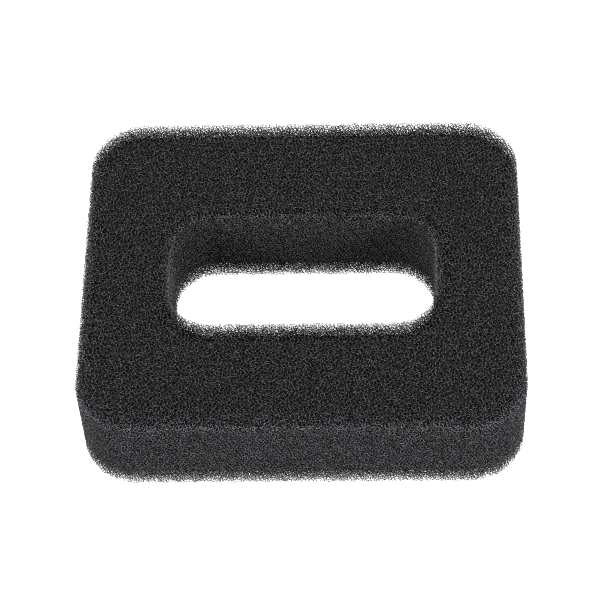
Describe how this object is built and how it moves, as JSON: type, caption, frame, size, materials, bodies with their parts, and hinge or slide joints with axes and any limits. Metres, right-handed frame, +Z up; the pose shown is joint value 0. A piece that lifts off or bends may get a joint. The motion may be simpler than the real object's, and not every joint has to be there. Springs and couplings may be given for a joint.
{
  "type": "foam air filter element",
  "caption": "Flat block of charcoal open-cell foam, a rounded rectangle with a rounded slot through its middle, that cleans the intake air of a small engine.",
  "frame": {"origin": "centre of the seat face, the flat face at the bottom, in the middle of the slot", "axes": "+X along the block's length, +Y across its width, +Z up through its thickness"},
  "size_m": [0.107, 0.091, 0.025],
  "materials": {
    "charcoal_foam": "matt charcoal open-cell polyurethane foam, with a faint satin glint on its cell struts"
  },
  "bodies": {
    "root": {"foam_element": "charcoal_foam"}
  },
  "joints": []
}
